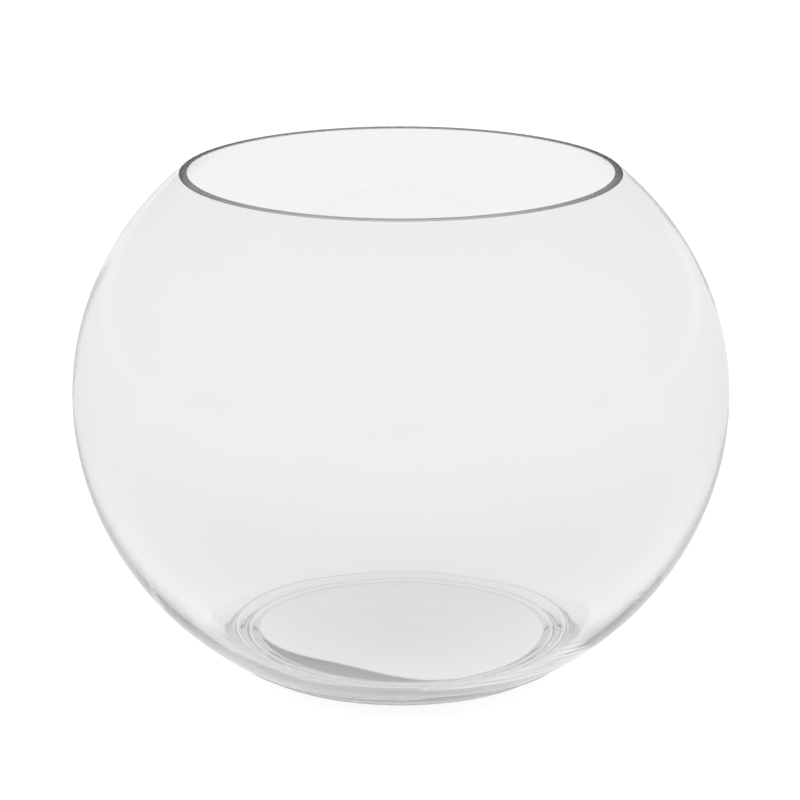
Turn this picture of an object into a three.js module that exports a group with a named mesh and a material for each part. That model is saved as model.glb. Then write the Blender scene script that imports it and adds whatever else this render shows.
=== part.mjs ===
// A round vase of clear glass, of the kind called a bubble bowl: one blown piece, cut flat at the mouth.
// Millimetres, +Z up. The origin is the centre of the foot, on the plane that the vase stands on.
import * as THREE from "three";

// Outer skin
const BOWL_DIAMETER = 254;
const BOWL_HEIGHT = 196;
const BELLY_HEIGHT = 108;
const MOUTH_DIAMETER = 170;
const FOOT_DIAMETER = 114;
const HEEL_RADIUS = 3;

// The two fine raised rings that the mould's bottom plate leaves above the heel
const FOOT_TO_PLATE_SEAM = 4;
const PLATE_SEAM_GAP = 6.2;
const SEAM_WIDTH = 0.9;
const SEAM_HEIGHT = 0.25;

// Thickness of the glass
const RIM_WIDTH = 3.5;
const BELLY_WALL = 2.1;
const HAUNCH_WALL = 3.2;
const BASE_THICKNESS = 11.5;
const FLOOR_CORNER_RADIUS = 25;
const FLOOR_DISH = 0.4;

// Edges of the cut rim, each a flat bevel at 45 degrees
const OUTER_ARRIS = 0.5;
const INNER_ARRIS = 0.2;

// Underside of the foot: a flat ring to stand on and the shallow dome inside it
const BEARING_RING_WIDTH = 4.5;
const PUSH_UP = 1.2;

// Facets
const TURNS = 64;
const SHOULDER_STEPS = 9;
const HAUNCH_STEPS = 14;
const HEEL_STEPS = 4;
const SEAM_APART_STEPS = 2;
const CORNER_STEPS = 8;
const FLOOR_STEPS = 4;
const DOME_STEPS = 6;

/** Half height that an ellipse of this half width needs to pass a point at radius and rise from its centre. */
function halfHeightThrough(halfWidth, radius, rise) {
  return rise / Math.sqrt(1 - (radius / halfWidth) ** 2);
}

/** Point and outward normal of a half profile ellipse. The angle is 0 at the belly and positive upwards. */
function onEllipse(ellipse, angle) {
  const { halfWidth, halfHeight } = ellipse;
  const point = new THREE.Vector2(
    halfWidth * Math.cos(angle),
    BELLY_HEIGHT + halfHeight * Math.sin(angle),
  );
  const normal = new THREE.Vector2(Math.cos(angle) / halfWidth, Math.sin(angle) / halfHeight);
  return { point, normal: normal.normalize() };
}

/** Points of an ellipse from one angle to another, both included. */
function ellipsePoints(ellipse, from, to, steps) {
  return Array.from({ length: steps + 1 }, (_, i) => {
    return onEllipse(ellipse, THREE.MathUtils.lerp(from, to, i / steps)).point;
  });
}

/**
 * The round corner where an ellipse's lower half runs into a level plane: a circle that lies inside
 * the ellipse and on the plane. It gives the circle's centre and the ellipse angle where they touch.
 */
function cornerCircle(ellipse, planeHeight, radius) {
  let above = 0;
  let below = -Math.PI / 2;
  const centreAt = (angle) => {
    const { point, normal } = onEllipse(ellipse, angle);
    return point.addScaledVector(normal, -radius);
  };
  for (let i = 0; i < 60; i += 1) {
    const middle = (above + below) / 2;
    if (centreAt(middle).y > planeHeight + radius) above = middle;
    else below = middle;
  }
  return { centre: centreAt(above), angle: above, radius };
}

/** Points of a corner circle, from straight down to where it touches its ellipse. */
function cornerPoints(ellipse, corner, steps) {
  const { normal } = onEllipse(ellipse, corner.angle);
  const end = Math.atan2(normal.y, normal.x);
  return Array.from({ length: steps + 1 }, (_, i) => {
    const direction = THREE.MathUtils.lerp(-Math.PI / 2, end, i / steps);
    return new THREE.Vector2(
      corner.centre.x + corner.radius * Math.cos(direction),
      corner.centre.y + corner.radius * Math.sin(direction),
    );
  });
}

const bowlRadius = BOWL_DIAMETER / 2;
const mouthRadius = MOUTH_DIAMETER / 2;
const shoulderRise = BOWL_HEIGHT - BELLY_HEIGHT;

// The outer skin is two half ellipses that meet at the belly.
const outerShoulder = {
  halfWidth: bowlRadius,
  halfHeight: halfHeightThrough(bowlRadius, mouthRadius, shoulderRise),
};
const outerHaunch = {
  halfWidth: bowlRadius,
  halfHeight: halfHeightThrough(bowlRadius, FOOT_DIAMETER / 2, BELLY_HEIGHT),
};

// The cavity's ellipses keep the wall at the rim, at the belly and half way down to the foot.
const cavityRadius = bowlRadius - BELLY_WALL;
const cavityMouthRadius = mouthRadius - RIM_WIDTH;
const cavityShoulder = {
  halfWidth: cavityRadius,
  halfHeight: halfHeightThrough(cavityRadius, cavityMouthRadius, shoulderRise),
};
const haunch = onEllipse(outerHaunch, -Math.PI / 4);
const cavityHaunchPoint = haunch.point.addScaledVector(haunch.normal, -HAUNCH_WALL);
const cavityHaunch = {
  halfWidth: cavityRadius,
  halfHeight: halfHeightThrough(
    cavityRadius,
    cavityHaunchPoint.x,
    BELLY_HEIGHT - cavityHaunchPoint.y,
  ),
};

/** The shallow dome under the foot, level at its centre and at the ring's inner edge, where it ends. */
function undersidePoints(ringInnerRadius) {
  return Array.from({ length: DOME_STEPS + 1 }, (_, i) => {
    const share = i / DOME_STEPS;
    return new THREE.Vector2(ringInnerRadius * share, PUSH_UP * (1 - share ** 2) ** 2);
  });
}

/** The angle at which an ellipse's lower half reaches a radius. */
function angleAtRadius(ellipse, radius) {
  return -Math.acos(radius / ellipse.halfWidth);
}

/** The outer skin from the heel up to the belly, with the plate seams raised on it. */
function haunchPoints(heelAngle) {
  const plateSeam = FOOT_DIAMETER / 2 + FOOT_TO_PLATE_SEAM;
  const points = [];
  let angle = heelAngle;
  for (const radius of [plateSeam, plateSeam + PLATE_SEAM_GAP]) {
    const start = angleAtRadius(outerHaunch, radius - SEAM_WIDTH / 2);
    const crest = onEllipse(outerHaunch, angleAtRadius(outerHaunch, radius));
    points.push(...ellipsePoints(outerHaunch, angle, start, SEAM_APART_STEPS).slice(1));
    points.push(crest.point.addScaledVector(crest.normal, SEAM_HEIGHT));
    angle = angleAtRadius(outerHaunch, radius + SEAM_WIDTH / 2);
    points.push(onEllipse(outerHaunch, angle).point);
  }
  return [...points, ...ellipsePoints(outerHaunch, angle, 0, HAUNCH_STEPS).slice(1)];
}

/** The cavity's floor, level where it leaves its corner and dished towards the axis. */
function floorPoints(edgeRadius) {
  return Array.from({ length: FLOOR_STEPS }, (_, i) => {
    const share = 1 - (i + 1) / FLOOR_STEPS;
    return new THREE.Vector2(
      edgeRadius * share,
      BASE_THICKNESS - FLOOR_DISH * (1 - share ** 2) ** 2,
    );
  });
}

/** The flat cut face of the rim between its two bevels, from the outer skin to the cavity. */
function rimPoints() {
  return [
    new THREE.Vector2(mouthRadius - OUTER_ARRIS, BOWL_HEIGHT),
    new THREE.Vector2(cavityMouthRadius + INNER_ARRIS, BOWL_HEIGHT),
  ];
}

/** The angle at which an ellipse's upper half reaches a height. */
function angleAtHeight(ellipse, height) {
  return Math.asin((height - BELLY_HEIGHT) / ellipse.halfHeight);
}

/** Half section of the glass, from the underside's centre round the outer skin to the floor's centre. */
function glassProfile() {
  const heel = cornerCircle(outerHaunch, 0, HEEL_RADIUS);
  const floorCorner = cornerCircle(cavityHaunch, BASE_THICKNESS, FLOOR_CORNER_RADIUS);
  const outerTop = angleAtHeight(outerShoulder, BOWL_HEIGHT - OUTER_ARRIS);
  const cavityTop = angleAtHeight(cavityShoulder, BOWL_HEIGHT - INNER_ARRIS);
  return [
    ...undersidePoints(heel.centre.x - BEARING_RING_WIDTH),
    ...cornerPoints(outerHaunch, heel, HEEL_STEPS),
    ...haunchPoints(heel.angle),
    ...ellipsePoints(outerShoulder, 0, outerTop, SHOULDER_STEPS).slice(1),
    ...rimPoints(),
    ...ellipsePoints(cavityShoulder, cavityTop, 0, SHOULDER_STEPS),
    ...ellipsePoints(cavityHaunch, 0, floorCorner.angle, HAUNCH_STEPS).slice(1),
    ...cornerPoints(cavityHaunch, floorCorner, CORNER_STEPS).reverse().slice(1),
    ...floorPoints(floorCorner.centre.x),
  ];
}

const clearGlass = new THREE.MeshStandardMaterial({
  color: 0xf2f5f4,
  roughness: 0.03,
  metalness: 0,
  transparent: true,
  opacity: 0.35,
});

const glassBowl = new THREE.Mesh(new THREE.LatheGeometry(glassProfile(), TURNS), clearGlass);
glassBowl.name = "glass_bowl";
glassBowl.rotation.x = Math.PI / 2;

const vase = new THREE.Group();
vase.add(glassBowl);

export default vase;
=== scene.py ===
"""A round vase of clear blown glass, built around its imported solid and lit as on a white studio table."""

import logging
import math
from dataclasses import dataclass, field
from enum import Enum
from typing import Any

import bpy
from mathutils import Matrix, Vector


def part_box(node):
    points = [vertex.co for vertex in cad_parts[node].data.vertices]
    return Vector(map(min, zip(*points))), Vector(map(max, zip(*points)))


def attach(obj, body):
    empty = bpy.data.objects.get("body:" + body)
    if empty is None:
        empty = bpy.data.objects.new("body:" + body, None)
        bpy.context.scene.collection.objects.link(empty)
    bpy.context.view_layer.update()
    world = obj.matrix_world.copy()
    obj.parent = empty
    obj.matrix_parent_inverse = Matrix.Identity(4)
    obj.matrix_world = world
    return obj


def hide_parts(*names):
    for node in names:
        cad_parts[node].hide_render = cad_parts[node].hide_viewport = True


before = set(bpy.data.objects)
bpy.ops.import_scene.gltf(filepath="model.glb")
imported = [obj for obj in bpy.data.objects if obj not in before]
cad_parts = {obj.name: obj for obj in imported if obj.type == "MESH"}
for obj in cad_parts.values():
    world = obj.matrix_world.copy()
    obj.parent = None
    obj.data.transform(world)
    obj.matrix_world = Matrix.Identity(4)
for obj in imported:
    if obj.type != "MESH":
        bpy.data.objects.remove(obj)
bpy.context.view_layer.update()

LOG = logging.getLogger("round_glass_vase")
BODY = "root"
BOWL_NODE = "glass_bowl"
MM = 0.001


class RayKind(Enum):
    """The rays that the studio answers to, by the name of their Light Path output."""

    CAMERA = "Is Camera Ray"
    MIRRORED = "Is Glossy Ray"
    THROUGH_GLASS = "Is Transmission Ray"


class Skin(Enum):
    """How much of the blower's slow waves a stretch of the glass keeps, by how it was shaped."""

    CUT = 0.0
    MOULDED = 0.02
    FREE = 0.08
    POOLED = 1.0


def linear(hex_colour: str) -> tuple[float, float, float, float]:
    """Turns an sRGB hex colour into the linear values that a node takes.

    Args:
        hex_colour: Six hex digits, such as "f4f5f5".

    Returns:
        Linear red, green and blue, and an alpha of 1.
    """
    toe, slope, offset, power = 0.04045, 12.92, 0.055, 2.4
    shares = [int(hex_colour[i : i + 2], 16) / 255 for i in (0, 2, 4)]
    red, green, blue = (
        share / slope if share <= toe else ((share + offset) / (1 + offset)) ** power for share in shares
    )
    return red, green, blue, 1.0


def add_node(
    tree: bpy.types.NodeTree,
    kind: str,
    settings: dict[str | int, Any] | None = None,
    links: dict[str | int, bpy.types.NodeSocket] | None = None,
) -> bpy.types.Node:
    """Adds one node to a tree, with its settings and its links.

    Args:
        tree: The node tree that takes the node.
        kind: The node's type, such as ShaderNodeMix.
        settings: Values by the name of the node's property or input, or by the input's number.
        links: The sockets that feed the node, by the name or number of the input that each feeds.

    Returns:
        The new node.
    """
    node = tree.nodes.new(kind)
    for name, value in (settings or {}).items():
        if isinstance(name, str) and hasattr(node, name):
            setattr(node, name, value)
        else:
            node.inputs[name].default_value = value
    for name, socket in (links or {}).items():
        tree.links.new(socket, node.inputs[name])
    return node


def add_object(name: str, data: bpy.types.ID | None) -> bpy.types.Object:
    """Puts new data into the scene as an object at the origin.

    Args:
        name: The object's name.
        data: The mesh, light or camera that it shows.

    Returns:
        The new object.
    """
    made = bpy.data.objects.new(name, data)
    bpy.context.scene.collection.objects.link(made)
    return made


@dataclass(frozen=True)
class Fineness:
    """Into how many steps each stretch of the half section is cut, and the whole revolve.

    The edge margin is where a softened corner's outermost points lie, in lengths of its reach. The
    halvings are how often a search halves its range.
    """

    turns: int = 320
    underside: int = 24
    heel: int = 8
    between_seams: int = 3
    seam: int = 12
    haunch: int = 44
    shoulder: int = 36
    edge: int = 4
    edge_margin: float = 1.8
    floor_corner: int = 16
    floor: int = 12
    halvings: int = 60


FINE = Fineness()


def softened(corner: Vector, before: Vector, after: Vector, reach: float) -> list[Vector]:
    """Takes the keenness off a cut corner, as the last wheel does, with a small parabola.

    Args:
        corner: The crisp corner.
        before: A point that the profile comes from.
        after: A point that it goes on to.
        reach: How far from the corner the round starts and ends.

    Returns:
        Points from one side of the corner to the other. One more on each side keeps the faces flat.
    """
    back = (before - corner).normalized() * reach
    ahead = (after - corner).normalized() * reach
    steps = FINE.edge
    round_points = [
        corner + back * (1 - i / steps) ** 2 + ahead * (i / steps) ** 2 for i in range(steps + 1)
    ]
    margin = FINE.edge_margin
    return [corner + back * margin, *round_points, corner + ahead * margin]


@dataclass(frozen=True)
class HalfEllipse:
    """The upper or lower half of a skin's profile. The angle is 0 at the belly and positive upwards."""

    half_width: float
    half_height: float
    belly_height: float

    @classmethod
    def through(cls, half_width: float, belly_height: float, radius: float, rise: float) -> "HalfEllipse":
        """Makes the half ellipse that passes a point.

        Args:
            half_width: Radius of the skin at the belly.
            belly_height: Height of the belly.
            radius: The point's distance from the axis.
            rise: The point's height above or depth below the belly.

        Returns:
            The half ellipse through that point.
        """
        return cls(half_width, rise / math.sqrt(1 - (radius / half_width) ** 2), belly_height)

    def point(self, angle: float) -> Vector:
        """Gives radius and height at an angle."""
        return Vector(
            (self.half_width * math.cos(angle), self.belly_height + self.half_height * math.sin(angle))
        )

    def normal(self, angle: float) -> Vector:
        """Gives the unit vector that points away from the ellipse at an angle."""
        return Vector((math.cos(angle) / self.half_width, math.sin(angle) / self.half_height)).normalized()

    def angle_at_height(self, height: float) -> float:
        """Gives the angle at which the upper half reaches a height."""
        return math.asin((height - self.belly_height) / self.half_height)

    def angle_at_radius(self, radius: float) -> float:
        """Gives the angle at which the lower half reaches a radius."""
        return -math.acos(radius / self.half_width)

    def arc(self, start: float, end: float, steps: int) -> list[Vector]:
        """Gives the points from one angle to another, both included."""
        return [self.point(start + (end - start) * i / steps) for i in range(steps + 1)]


@dataclass(frozen=True)
class RoundCorner:
    """The round that joins the lower half of a skin to a level plane, from inside the skin."""

    skin: HalfEllipse
    plane_height: float
    radius: float

    def centre_at(self, angle: float) -> Vector:
        """Gives the centre of the round that touches the skin at an angle."""
        return self.skin.point(angle) - self.skin.normal(angle) * self.radius

    def touch_angle(self) -> float:
        """Finds where the round leaves the skin, by halving the range.

        Returns:
            The skin's angle at that point.
        """
        above, below = 0.0, -math.pi / 2
        for _ in range(FINE.halvings):
            middle = (above + below) / 2
            if self.centre_at(middle).y > self.plane_height + self.radius:
                above = middle
            else:
                below = middle
        return above

    def arc(self, steps: int) -> list[Vector]:
        """Gives the round's points, from the plane out to the skin.

        Args:
            steps: Into how many steps the round is cut.

        Returns:
            Points of radius and height, both ends included.
        """
        touch = self.touch_angle()
        centre = self.centre_at(touch)
        normal = self.skin.normal(touch)
        end = math.atan2(normal.y, normal.x)
        turns = [-math.pi / 2 + (end + math.pi / 2) * i / steps for i in range(steps + 1)]
        return [centre + Vector((math.cos(turn), math.sin(turn))) * self.radius for turn in turns]


@dataclass(frozen=True)
class PlateSeams:
    """The two fine raised rings that the mould's bottom plate leaves above the heel."""

    from_foot: float = 4.0 * MM
    gap: float = 6.2 * MM
    width: float = 0.8 * MM
    height: float = 0.35 * MM

    def haunch(self, skin: HalfEllipse, heel_angle: float, foot_radius: float) -> list[Vector]:
        """Gives the outer skin from the heel up to the belly, with the seams raised on it.

        Args:
            skin: The lower half of the outer skin.
            heel_angle: The skin's angle at which the heel's round leaves it.
            foot_radius: The foot's radius, from which the seams are placed.

        Returns:
            Points of radius and height, without the heel's own last point.
        """
        points: list[Vector] = []
        angle = heel_angle
        for radius in (foot_radius + self.from_foot, foot_radius + self.from_foot + self.gap):
            start = skin.angle_at_radius(radius - self.width / 2)
            end = skin.angle_at_radius(radius + self.width / 2)
            points += skin.arc(angle, start, FINE.between_seams)[1:]
            for i in range(1, FINE.seam + 1):
                angle = start + (end - start) * i / FINE.seam
                lift = self.height * math.sin(math.pi * i / FINE.seam) ** 2
                points.append(skin.point(angle) + skin.normal(angle) * lift)
        return points + skin.arc(angle, 0.0, FINE.haunch)[1:]


@dataclass(frozen=True)
class SlowWaves:
    """The slow unevenness of a wall that no mould touched while it was soft."""

    height: float = 3.0 * MM
    length: float = 60 * MM
    detail: float = 1.5
    roughness: float = 0.45
    seed: float = 2.0


@dataclass(frozen=True)
class BlownGlass:
    """Clear soda-lime glass, blown and fire-polished, with a cut and finely ground rim.

    Fire polish leaves no grain at all, so the eye sees only mirror-sharp edges of what stands around,
    bent a little by slow waves. The cut rim was ground level on a fine wheel and left so: its matt
    face takes light in without a mirror image, and reads dark where the wall turns away from the eye.
    A grey painted shade on the cut face darkens it further.
    The ring that the vase stands on was lapped and keeps nearly all of its gloss.
    """

    name: str = "clear_blown_glass"
    tint: str = "ffffff"
    index: float = 1.52
    absorption_tint: str = "bcbcbc"
    absorption_density: float = 3.0
    # Painted shade: a grey that darkens the light through the cut rim.
    rim_painted_shade: str = "d4d4d4"
    rim_roughness: float = 0.9
    foot_roughness: float = 0.05
    rim_band: float = 0.1 * MM
    foot_band: float = 0.15 * MM

    def build(self, rim_height: float) -> bpy.types.Material:
        """Makes the glass.

        Args:
            rim_height: Height from which up the rim is cut.

        Returns:
            The material, which reads Object coordinates in metres.
        """
        material = bpy.data.materials.new(self.name)
        material.use_nodes = True
        tree = material.node_tree
        tree.nodes.clear()
        place = add_node(tree, "ShaderNodeTexCoord").outputs["Object"]
        height = add_node(tree, "ShaderNodeSeparateXYZ", links={0: place}).outputs["Z"]
        rim, foot = (
            add_node(
                tree, "ShaderNodeMapRange", {"From Min": start, "From Max": end}, {"Value": height}
            ).outputs["Result"]
            for start, end in ((rim_height - self.rim_band, rim_height), (self.foot_band, 0.0))
        )
        rim_part = add_node(
            tree, "ShaderNodeMath", {"operation": "MULTIPLY", 1: self.rim_roughness}, {0: rim}
        )
        roughness = add_node(
            tree,
            "ShaderNodeMath",
            {"operation": "MULTIPLY_ADD", 1: self.foot_roughness},
            {0: foot, 2: rim_part.outputs[0]},
        )
        # The rim's colour is painted shade, mixed in over the cut face.
        colour = add_node(
            tree,
            "ShaderNodeMix",
            {"data_type": "RGBA", "A": linear(self.tint), "B": linear(self.rim_painted_shade)},
            {"Factor": rim},
        )
        glass = add_node(
            tree,
            "ShaderNodeBsdfPrincipled",
            {"IOR": self.index, "Transmission Weight": 1.0},
            {"Base Color": colour.outputs["Result"], "Roughness": roughness.outputs[0]},
        )
        inside = add_node(
            tree,
            "ShaderNodeVolumeAbsorption",
            {"Color": linear(self.absorption_tint), "Density": self.absorption_density},
        )
        add_node(
            tree,
            "ShaderNodeOutputMaterial",
            links={"Surface": glass.outputs[0], "Volume": inside.outputs[0]},
        )
        return material


@dataclass
class GlassBowl:
    """The vase: one revolve of glass, thin at the belly and thick at the base.

    The rim's lean is how far its outer edge lies below its inner one.
    """

    bowl_diameter: float
    bowl_height: float
    belly_height: float = 108 * MM
    mouth_diameter: float = 169 * MM
    foot_diameter: float = 114 * MM
    heel_radius: float = 3 * MM
    rim_width: float = 3.1 * MM
    rim_lean: float = 0.45 * MM
    belly_wall: float = 2.1 * MM
    haunch_wall: float = 3.2 * MM
    base_thickness: float = 11.5 * MM
    floor_corner_radius: float = 25 * MM
    floor_dish: float = 0.4 * MM
    edge_softness: float = 0.12 * MM
    bearing_ring_width: float = 4.5 * MM
    push_up: float = 1.2 * MM
    weld_distance: float = 0.001 * MM
    seams: PlateSeams = field(default_factory=PlateSeams)
    waves: SlowWaves = field(default_factory=SlowWaves)
    finish: BlownGlass = field(default_factory=BlownGlass)

    def underside(self, ring_inner_radius: float) -> list[Vector]:
        """Gives the shallow dome under the foot.

        Args:
            ring_inner_radius: Inner radius of the ring that the vase stands on, where the dome ends.

        Returns:
            Points of radius and height, from the axis outwards.
        """
        steps = FINE.underside
        shares = [i / steps for i in range(steps + 1)]
        return [Vector((ring_inner_radius * s, self.push_up * (1 - s**2) ** 2)) for s in shares]

    def cavity_floor(self, edge_radius: float) -> list[Vector]:
        """Gives the floor of the cavity, level at its edge and dished to the axis.

        Args:
            edge_radius: Radius at which the floor's corner ends.

        Returns:
            Points of radius and height, from the edge inwards, without the edge itself.
        """
        steps = FINE.floor
        shares = [1 - (i + 1) / steps for i in range(steps)]
        return [
            Vector((edge_radius * s, self.base_thickness - self.floor_dish * (1 - s**2) ** 2)) for s in shares
        ]

    def rim(self, outside: list[Vector], inside: list[Vector]) -> list[Vector]:
        """Gives the cut face of the rim with its two softened edges.

        Args:
            outside: The last two points of the outer skin, of which the second is the face's outer edge.
            inside: The first two points of the cavity's skin, of which the first is its inner edge.

        Returns:
            Points from the outer skin over the rim into the cavity.
        """
        before, outer_edge = outside
        inner_edge, after = inside
        return [
            *softened(outer_edge, before, inner_edge, self.edge_softness),
            *softened(inner_edge, outer_edge, after, self.edge_softness),
        ]

    def profile(self) -> list[tuple[Vector, Skin]]:
        """Gives the half section of the glass with how each point was shaped.

        Returns:
            Points from the underside's centre round the outer skin and the rim to the floor's centre.
        """
        radius = self.bowl_diameter / 2
        mouth = self.mouth_diameter / 2
        foot = self.foot_diameter / 2
        belly = self.belly_height
        rise = self.bowl_height - belly
        outer_top = HalfEllipse.through(radius, belly, mouth, rise - self.rim_lean)
        outer_low = HalfEllipse.through(radius, belly, foot, belly)
        inner_radius = radius - self.belly_wall
        inner_top = HalfEllipse.through(inner_radius, belly, mouth - self.rim_width, rise)
        haunch = -math.pi / 4
        inner_haunch = outer_low.point(haunch) - outer_low.normal(haunch) * self.haunch_wall
        inner_low = HalfEllipse.through(inner_radius, belly, inner_haunch.x, belly - inner_haunch.y)
        heel = RoundCorner(outer_low, 0.0, self.heel_radius)
        heel_arc = heel.arc(FINE.heel)
        corner = RoundCorner(inner_low, self.base_thickness, self.floor_corner_radius)
        corner_arc = corner.arc(FINE.floor_corner)[::-1]
        outer_end = outer_top.angle_at_height(self.bowl_height - self.rim_lean)
        inner_end = inner_top.angle_at_height(self.bowl_height)
        outside = [
            *self.underside(heel_arc[0].x - self.bearing_ring_width),
            *heel_arc,
            *self.seams.haunch(outer_low, heel.touch_angle(), foot),
            *outer_top.arc(0.0, outer_end, FINE.shoulder)[1:],
        ]
        inside = [
            *inner_top.arc(inner_end, 0.0, FINE.shoulder),
            *inner_low.arc(0.0, corner.touch_angle(), FINE.haunch)[1:],
        ]
        return [
            *((point, Skin.MOULDED) for point in outside[:-1]),
            *((point, Skin.CUT) for point in self.rim(outside[-2:], inside[:2])),
            *((point, Skin.FREE) for point in inside[1:]),
            *((point, Skin.POOLED) for point in corner_arc[1:]),
            *((point, Skin.FREE) for point in self.cavity_floor(corner_arc[-1].x)),
        ]

    def revolve_tree(self, material: bpy.types.Material) -> bpy.types.NodeTree:
        """Builds the Geometry Nodes tree that turns the half section into glass.

        Args:
            material: The glass that the tree sets.

        Returns:
            The tree, with named inputs for the turns, the rail and the waves.
        """
        tree = bpy.data.node_groups.new("revolve_glass", "GeometryNodeTree")
        tree.interface.new_socket("Geometry", in_out="OUTPUT", socket_type="NodeSocketGeometry")
        tree.interface.new_socket("Half Section", in_out="INPUT", socket_type="NodeSocketGeometry")
        tree.interface.new_socket("Turns", in_out="INPUT", socket_type="NodeSocketInt")
        for name in ("Rail Radius", "Weld Distance", "Wave Height", "Wave Length", "Wave Seed"):
            tree.interface.new_socket(name, in_out="INPUT", socket_type="NodeSocketFloat")
        given = add_node(tree, "NodeGroupInput").outputs
        section = add_node(tree, "GeometryNodeMeshToCurve", links={"Mesh": given["Half Section"]})
        shift = add_node(
            tree, "ShaderNodeMath", {"operation": "MULTIPLY", 1: -1.0}, {0: given["Rail Radius"]}
        )
        shift_vector = add_node(tree, "ShaderNodeCombineXYZ", links={"X": shift.outputs[0]})
        laid = add_node(
            tree,
            "GeometryNodeTransform",
            {"Rotation": (math.pi / 2, 0.0, 0.0)},
            {"Geometry": section.outputs[0], "Translation": shift_vector.outputs[0]},
        )
        rail = add_node(
            tree,
            "GeometryNodeCurvePrimitiveCircle",
            links={"Resolution": given["Turns"], "Radius": given["Rail Radius"]},
        )
        swept = add_node(
            tree,
            "GeometryNodeCurveToMesh",
            links={"Curve": rail.outputs[0], "Profile Curve": laid.outputs[0]},
        )
        turned_out = add_node(tree, "GeometryNodeFlipFaces", links={"Mesh": swept.outputs[0]})
        welded = add_node(
            tree,
            "GeometryNodeMergeByDistance",
            links={"Geometry": turned_out.outputs[0], "Distance": given["Weld Distance"]},
        )
        smooth = add_node(tree, "GeometryNodeSetShadeSmooth", links={0: self.add_waves(tree, given, welded)})
        real = add_node(tree, "GeometryNodeRealizeInstances", links={0: smooth.outputs[0]})
        dressed = add_node(
            tree, "GeometryNodeSetMaterial", {"Material": material}, {"Geometry": real.outputs[0]}
        )
        add_node(tree, "NodeGroupOutput", links={0: dressed.outputs[0]})
        return tree

    def add_waves(
        self, tree: bpy.types.NodeTree, given: bpy.types.bpy_prop_collection, glass: bpy.types.Node
    ) -> bpy.types.NodeSocket:
        """Moves the glass along its normals by slow noise, as far as each skin was blown freely.

        Args:
            tree: The tree that takes the nodes.
            given: The outputs of the tree's own inputs.
            glass: The node with the welded revolve.

        Returns:
            The socket with the waved glass.
        """
        free = add_node(tree, "GeometryNodeInputNamedAttribute", {"data_type": "FLOAT", "Name": "free_skin"})
        place = add_node(tree, "GeometryNodeInputPosition")
        per_metre = add_node(
            tree, "ShaderNodeMath", {"operation": "DIVIDE", 0: 1.0}, {1: given["Wave Length"]}
        )
        noise = add_node(
            tree,
            "ShaderNodeTexNoise",
            {"noise_dimensions": "4D", "Detail": self.waves.detail, "Roughness": self.waves.roughness},
            {"Vector": place.outputs[0], "W": given["Wave Seed"], "Scale": per_metre.outputs[0]},
        )
        centred = add_node(
            tree, "ShaderNodeMath", {"operation": "SUBTRACT", 1: 0.5}, {0: noise.outputs["Fac"]}
        )
        tall = add_node(
            tree,
            "ShaderNodeMath",
            {"operation": "MULTIPLY"},
            {0: centred.outputs[0], 1: given["Wave Height"]},
        )
        kept = add_node(
            tree,
            "ShaderNodeMath",
            {"operation": "MULTIPLY"},
            {0: tall.outputs[0], 1: free.outputs["Attribute"]},
        )
        outwards = add_node(tree, "GeometryNodeInputNormal")
        move = add_node(
            tree,
            "ShaderNodeVectorMath",
            {"operation": "SCALE"},
            {0: outwards.outputs[0], "Scale": kept.outputs[0]},
        )
        waved = add_node(
            tree,
            "GeometryNodeSetPosition",
            links={"Geometry": glass.outputs[0], "Offset": move.outputs[0]},
        )
        return waved.outputs[0]

    def section_mesh(self) -> bpy.types.Mesh:
        """Makes the half section as a chain of edges.

        Returns:
            A mesh whose points carry how freely each was blown, as the attribute free_skin.
        """
        chain = self.profile()
        mesh = bpy.data.meshes.new("half_section")
        mesh.from_pydata(
            [(point.x, 0.0, point.y) for point, _ in chain],
            [(i, i + 1) for i in range(len(chain) - 1)],
            [],
        )
        share = mesh.attributes.new("free_skin", "FLOAT", "POINT")
        share.data.foreach_set("value", [skin.value for _, skin in chain])
        return mesh

    def build(self) -> bpy.types.Object:
        """Revolves the glass, dresses it and lets it stand for its CAD node.

        Returns:
            The finished piece.
        """
        tree = self.revolve_tree(self.finish.build(self.bowl_height - self.rim_lean))
        maker = add_object("half_section", self.section_mesh())
        modifier = maker.modifiers.new("revolve", "NODES")
        modifier.node_group = tree
        inputs = {
            "Turns": FINE.turns,
            "Rail Radius": self.bowl_diameter / 4,
            "Weld Distance": self.weld_distance,
            "Wave Height": self.waves.height,
            "Wave Length": self.waves.length,
            "Wave Seed": self.waves.seed,
        }
        for item in tree.interface.items_tree:
            if item.name in inputs:
                modifier[item.identifier] = inputs[item.name]
        shape = maker.evaluated_get(bpy.context.evaluated_depsgraph_get())
        mesh = bpy.data.meshes.new_from_object(shape)
        mesh.name = BOWL_NODE + "_fine"
        bpy.data.objects.remove(maker)
        bowl = add_object(BOWL_NODE + "_fine", mesh)
        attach(bowl, BODY)
        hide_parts(BOWL_NODE)
        LOG.info("%s: %d points, %d faces", bowl.name, len(mesh.vertices), len(mesh.polygons))
        return bowl


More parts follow.
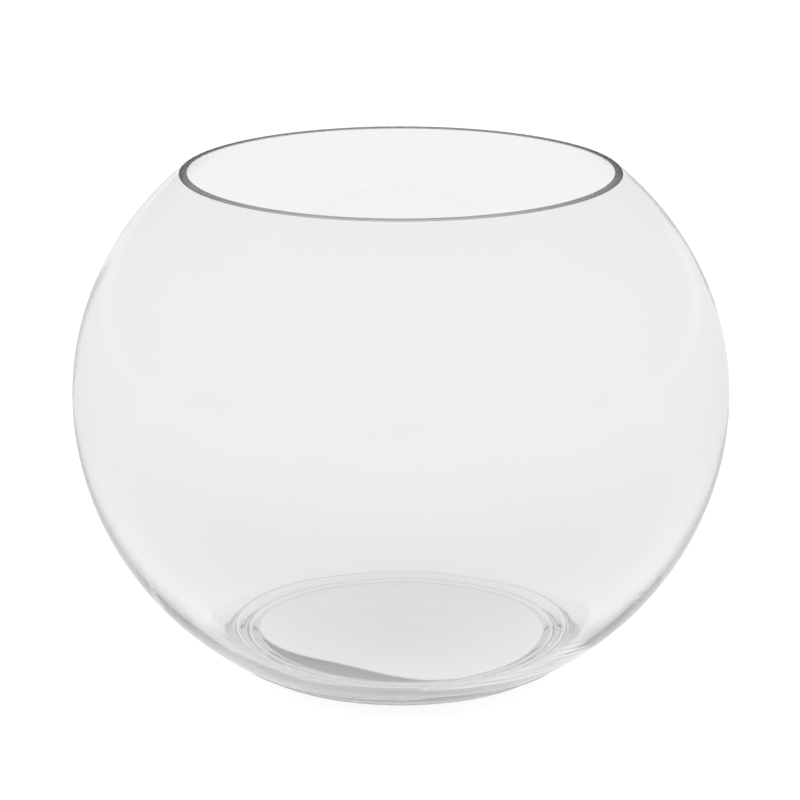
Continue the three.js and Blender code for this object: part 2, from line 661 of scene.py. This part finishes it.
@dataclass
class WhiteStudio:
    """The white table and the pale room around it, which the glass shows by bending and mirroring them.

    The camera sees both as plain white. The glass shows the paper a little greyer, as it was, and with
    painted shadow: dimmer under and beside the vase, which takes light from it. The room is dimmer
    overhead than at the horizon.

    Each level is a pair of place and brightness. The place is metres from the axis for the paper, the
    sine of the height for the room, and the way round from the front, 0, to the back, 1, for the
    levels around. A curve ends at 1, so these stand at a half of what they multiply by.
    """

    table_radius: float = 14.0
    table_corners: int = 96
    table_drop: float = 0.05 * MM
    table_colour: str = "a8a8a8"
    table_glow: float = 0.84
    # Painted shadow: the paper's glow that the glass shows is dimmer under and beside the vase.
    paper_levels: tuple[tuple[float, float], ...] = (
        (0.0, 0.73),
        (0.06, 0.83),
        (0.09, 0.94),
        (0.15, 0.94),
        (0.4, 0.91),
        (1.0, 0.91),
    )
    room_colour: str = "ffffff"
    room_levels: tuple[tuple[float, float], ...] = (
        (0.0, 0.91),
        (0.08, 0.79),
        (0.25, 0.71),
        (0.45, 0.62),
        (0.7, 0.45),
        (1.0, 0.38),
    )
    # Painted light and shade on the paper's glow, by the way round the vase.
    around_levels: tuple[tuple[float, float], ...] = (
        (0.0, 0.51),
        (0.5, 0.5),
        (0.85, 0.445),
        (0.95, 0.475),
        (1.0, 0.51),
    )
    around_full: float = 2.0
    near_vase: float = 0.1
    # Painted shadow under the foot: a ring between these radii, widened to a wedge towards gap_way, and the
    # share of light left in it for flat and steep rays.
    gap_outer_radius: float = 59.0 * MM
    gap_inner_radius: float = 56.5 * MM
    gap_edge: float = 2.5 * MM
    gap_depth: float = 12.5 * MM
    gap_way: tuple[float, float, float] = (-0.5, -0.866, 0.0)
    gap_focus: float = 5.0
    gap_share_flat: float = 0.1
    gap_share_steep: float = 0.7
    gap_flat_way: float = 0.45
    gap_steep_way: float = 0.9

    def ray_weight(self, tree: bpy.types.NodeTree, kinds: list[RayKind]) -> bpy.types.NodeSocket:
        """Adds up the Light Path outputs of some kinds of ray.

        Args:
            tree: The tree of the material or the world.
            kinds: The kinds of ray that count.

        Returns:
            A socket that is 1 for these rays and 0 for others.
        """
        path = add_node(tree, "ShaderNodeLightPath")
        total = path.outputs[kinds[0].value]
        for kind in kinds[1:]:
            total = add_node(
                tree,
                "ShaderNodeMath",
                {"operation": "ADD", "use_clamp": True},
                {0: total, 1: path.outputs[kind.value]},
            ).outputs[0]
        return total

    def level_curve(
        self,
        tree: bpy.types.NodeTree,
        where: bpy.types.NodeSocket,
        levels: tuple[tuple[float, float], ...],
    ) -> bpy.types.NodeSocket:
        """Draws a smooth curve through a few levels of light.

        Args:
            tree: The tree of the material or the world.
            where: The socket with the distance or the height that the levels follow.
            levels: Pairs of place and brightness, in order.

        Returns:
            The socket with the brightness.
        """
        node = add_node(tree, "ShaderNodeFloatCurve", links={"Value": where})
        curve = node.mapping.curves[0]
        while len(curve.points) < len(levels):
            curve.points.new(*levels[0])
        for knot, level in zip(curve.points, levels):
            knot.location = level
            knot.handle_type = "AUTO_CLAMPED"
        node.mapping.update()
        return node.outputs[0]

    def around_share(self, tree: bpy.types.NodeTree, back: bpy.types.NodeSocket) -> bpy.types.NodeSocket:
        """Gives how much painted light is left on the paper towards one side: more in front, less aside of
        the back.

        Args:
            tree: The tree of the material or the world.
            back: The socket that goes from -1 at the front to 1 straight behind the vase.

        Returns:
            The socket with the share.
        """
        half = add_node(
            tree, "ShaderNodeMath", {"operation": "MULTIPLY_ADD", 1: 0.5, 2: 0.5}, {0: back}
        )
        curve = self.level_curve(tree, half.outputs[0], self.around_levels)
        share = add_node(
            tree, "ShaderNodeMath", {"operation": "MULTIPLY", 1: self.around_full}, {0: curve}
        )
        return share.outputs[0]

    def painted_shadow_mask(
        self, tree: bpy.types.NodeTree, place: bpy.types.NodeSocket, away: bpy.types.NodeSocket
    ) -> bpy.types.NodeSocket:
        """Marks where shadow is painted on the paper under the foot: a thin ring, and a wedge at the front
        left.

        Args:
            tree: The table's tree.
            place: The socket with the point on the table.
            away: The socket with the point's distance from the axis.

        Returns:
            The socket with the mask, 1 in the painted shadow and 0 on open paper.
        """
        way = add_node(tree, "ShaderNodeVectorMath", {"operation": "NORMALIZE"}, {0: place}).outputs[0]
        facing = add_node(
            tree, "ShaderNodeVectorMath", {"operation": "DOT_PRODUCT", 1: self.gap_way}, {0: way}
        )
        forward = add_node(
            tree, "ShaderNodeMath", {"operation": "MAXIMUM", 1: 0.0}, {0: facing.outputs["Value"]}
        )
        lobe = add_node(
            tree, "ShaderNodeMath", {"operation": "POWER", 1: self.gap_focus}, {0: forward.outputs[0]}
        )
        inner = add_node(
            tree,
            "ShaderNodeMath",
            {"operation": "MULTIPLY_ADD", 1: -self.gap_depth, 2: self.gap_inner_radius},
            {0: lobe.outputs[0]},
        )
        beyond = add_node(tree, "ShaderNodeMath", {"operation": "SUBTRACT"}, {0: away, 1: inner.outputs[0]})
        outer_end = self.gap_outer_radius - self.gap_edge
        inner_edge, outer_edge = (
            add_node(
                tree,
                "ShaderNodeMapRange",
                {"interpolation_type": "SMOOTHSTEP", "From Min": start, "From Max": end},
                {"Value": where},
            ).outputs["Result"]
            for where, start, end in (
                (beyond.outputs[0], 0.0, self.gap_edge),
                (away, self.gap_outer_radius, outer_end),
            )
        )
        gap = add_node(tree, "ShaderNodeMath", {"operation": "MULTIPLY"}, {0: inner_edge, 1: outer_edge})
        return gap.outputs[0]

    def painted_contact_shadow(
        self, tree: bpy.types.NodeTree, place: bpy.types.NodeSocket, away: bpy.types.NodeSocket
    ) -> bpy.types.NodeSocket:
        """Gives how much light is left in the shadow painted on the paper under the foot.

        The painted shadow is deep to a flat ray and pale to a steep one. Its mirror image in the
        wall is left out, because the photograph shows none.

        Args:
            tree: The table's tree.
            place: The socket with the point on the table.
            away: The socket with the point's distance from the axis.

        Returns:
            The socket with the share, 1 on open paper.
        """
        incoming = add_node(tree, "ShaderNodeNewGeometry").outputs["Incoming"]
        steepness = add_node(tree, "ShaderNodeSeparateXYZ", links={0: incoming}).outputs["Z"]
        lost = add_node(
            tree,
            "ShaderNodeMapRange",
            {
                "From Min": self.gap_flat_way,
                "From Max": self.gap_steep_way,
                "To Min": self.gap_share_flat - 1,
                "To Max": self.gap_share_steep - 1,
            },
            {"Value": steepness},
        )
        left = add_node(
            tree,
            "ShaderNodeMath",
            {"operation": "MULTIPLY_ADD", 2: 1.0},
            {0: self.painted_shadow_mask(tree, place, away), 1: lost.outputs["Result"]},
        )
        mirrored = add_node(tree, "ShaderNodeLightPath").outputs["Glossy Depth"]
        seen = add_node(
            tree,
            "ShaderNodeMath",
            {"operation": "MAXIMUM", "use_clamp": True},
            {0: left.outputs[0], 1: mirrored},
        )
        return seen.outputs[0]

    def table_material(self) -> bpy.types.Material:
        """Makes the table's paper: matt, without gloss, and so bright that it reads as white to its edge.

        Returns:
            The material, which reads Object coordinates in metres.
        """
        material = bpy.data.materials.new("matt_white_paper")
        material.use_nodes = True
        tree = material.node_tree
        tree.nodes.clear()
        place = add_node(tree, "ShaderNodeTexCoord").outputs["Object"]
        away = add_node(tree, "ShaderNodeVectorMath", {"operation": "LENGTH"}, {0: place}).outputs["Value"]
        depth = add_node(tree, "ShaderNodeSeparateXYZ", links={0: place}).outputs["Y"]
        raised = add_node(
            tree, "ShaderNodeVectorMath", {"operation": "ADD", 1: (0.0, 0.0, self.near_vase)}, {0: place}
        )
        reach = add_node(tree, "ShaderNodeVectorMath", {"operation": "LENGTH"}, {0: raised.outputs[0]})
        back = add_node(
            tree, "ShaderNodeMath", {"operation": "DIVIDE"}, {0: depth, 1: reach.outputs["Value"]}
        ).outputs[0]
        # The paper's glow for bent rays, with painted shadow near the vase and under the foot, and painted
        # light by side.
        open_paper = add_node(
            tree,
            "ShaderNodeMath",
            {"operation": "MULTIPLY"},
            {0: self.level_curve(tree, away, self.paper_levels), 1: self.around_share(tree, back)},
        )
        level = add_node(
            tree,
            "ShaderNodeMath",
            {"operation": "MULTIPLY"},
            {0: open_paper.outputs[0], 1: self.painted_contact_shadow(tree, place, away)},
        )
        matt = add_node(tree, "ShaderNodeBsdfDiffuse", {"Color": linear(self.table_colour)})
        glow = add_node(tree, "ShaderNodeEmission", {"Strength": self.table_glow})
        white = add_node(tree, "ShaderNodeAddShader", links={0: matt.outputs[0], 1: glow.outputs[0]})
        paper = add_node(tree, "ShaderNodeEmission", links={"Strength": level.outputs[0]})
        bent = self.ray_weight(tree, [RayKind.MIRRORED, RayKind.THROUGH_GLASS])
        mix = add_node(tree, "ShaderNodeMixShader", links={0: bent, 1: white.outputs[0], 2: paper.outputs[0]})
        add_node(tree, "ShaderNodeOutputMaterial", links={"Surface": mix.outputs[0]})
        return material

    def build_table(self) -> bpy.types.Object:
        """Makes the round table top under the vase.

        Returns:
            The table, kept apart from the vase's own pieces.
        """
        turn = math.tau / self.table_corners
        edge = [
            (self.table_radius * math.cos(turn * i), self.table_radius * math.sin(turn * i), -self.table_drop)
            for i in range(self.table_corners)
        ]
        mesh = bpy.data.meshes.new("table")
        mesh.from_pydata(edge, [], [tuple(range(self.table_corners))])
        mesh.materials.append(self.table_material())
        table = add_object("table", mesh)
        return table

    def build_room(self) -> None:
        """Makes the room: white to the camera, pale at the horizon and dim overhead to the glass."""
        world = bpy.data.worlds.new("pale_room")
        bpy.context.scene.world = world
        world.use_nodes = True
        tree = world.node_tree
        tree.nodes.clear()
        way = add_node(tree, "ShaderNodeTexCoord").outputs["Generated"]
        rise = add_node(tree, "ShaderNodeSeparateXYZ", links={0: way}).outputs["Z"]
        level = self.level_curve(tree, rise, self.room_levels)
        seen = self.ray_weight(tree, [RayKind.CAMERA])
        strength = add_node(
            tree,
            "ShaderNodeMapRange",
            {"To Max": 1.0},
            {"Value": seen, "To Min": level},
        )
        light = add_node(
            tree,
            "ShaderNodeBackground",
            {"Color": linear(self.room_colour)},
            {"Strength": strength.outputs["Result"]},
        )
        add_node(tree, "ShaderNodeOutputWorld", links={"Surface": light.outputs[0]})


@dataclass
class Softbox:
    """A large soft lamp aimed at the vase. The glass doesn't mirror it, as the photograph shows none."""

    name: str
    place: tuple[float, float, float]
    size: float
    power: float
    aim: tuple[float, float, float] = (0.0, 0.0, 0.1)

    def build(self) -> bpy.types.Object:
        """Makes the lamp and aims it.

        Returns:
            The lamp, which neither mirror images nor glass show.
        """
        light = bpy.data.lights.new(self.name, "AREA")
        light.shape = "DISK"
        light.size = self.size
        light.energy = self.power
        lamp = add_object(self.name, light)
        lamp.location = self.place
        way = Vector(self.aim) - Vector(self.place)
        lamp.rotation_euler = way.to_track_quat("-Z", "Y").to_euler()
        lamp.visible_glossy = False
        lamp.visible_transmission = False
        return lamp


@dataclass
class PhotoCamera:
    """The camera of the photograph, found from the outline and the rim's ellipse. Angles are radians."""

    distance: float = 1397 * MM
    elevation: float = 0.2769
    pitch: float = 0.2791
    focal_pixels: float = 3601.8
    picture_pixels: float = 800.0
    axis_pixel: float = 400.9
    sensor: float = 36.0
    nearest: float = 0.05
    farthest: float = 100.0

    def build(self, aim_height: float) -> bpy.types.Object:
        """Makes the camera.

        Args:
            aim_height: Height of the belly's centre, which the distance and the elevation start from.

        Returns:
            The camera, set as the scene's own.
        """
        data = bpy.data.cameras.new("photo_camera")
        data.sensor_width = self.sensor
        data.lens = self.sensor * self.focal_pixels / self.picture_pixels
        data.shift_x = (self.picture_pixels / 2 - self.axis_pixel) / self.picture_pixels
        data.clip_start = self.nearest
        data.clip_end = self.farthest
        camera = add_object("photo_camera", data)
        camera.location = (
            0.0,
            -self.distance * math.cos(self.elevation),
            aim_height + self.distance * math.sin(self.elevation),
        )
        camera.rotation_euler = (math.pi / 2 - self.pitch, 0.0, 0.0)
        bpy.context.scene.camera = camera
        return camera


def set_render_look() -> None:
    """Sets plain colours and enough bounces for light that is caught in the wall to come out again."""
    bounces = 256
    scene = bpy.context.scene
    scene.view_settings.view_transform = "Standard"
    scene.cycles.max_bounces = bounces
    scene.cycles.transmission_bounces = bounces
    scene.cycles.glossy_bounces = bounces


def main() -> None:
    """Builds the vase, then the studio around it."""
    logging.basicConfig(level=logging.INFO, format="%(name)s: %(message)s")
    low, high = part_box(BOWL_NODE)
    bowl = GlassBowl(bowl_diameter=high.x - low.x, bowl_height=high.z - low.z)
    bowl.build()
    studio = WhiteStudio()
    studio.build_table()
    studio.build_room()
    for lamp in (
        Softbox("left_softbox", place=(-1.7, -0.5, 1.5), size=1.4, power=22.0),
        Softbox("right_softbox", place=(1.8, -0.3, 1.3), size=1.2, power=14.0),
    ):
        lamp.build()
        LOG.info("%s: %.0f W over %.1f m", lamp.name, lamp.power, lamp.size)
    PhotoCamera().build(bowl.belly_height)
    set_render_look()


if __name__ == "__main__":
    main()
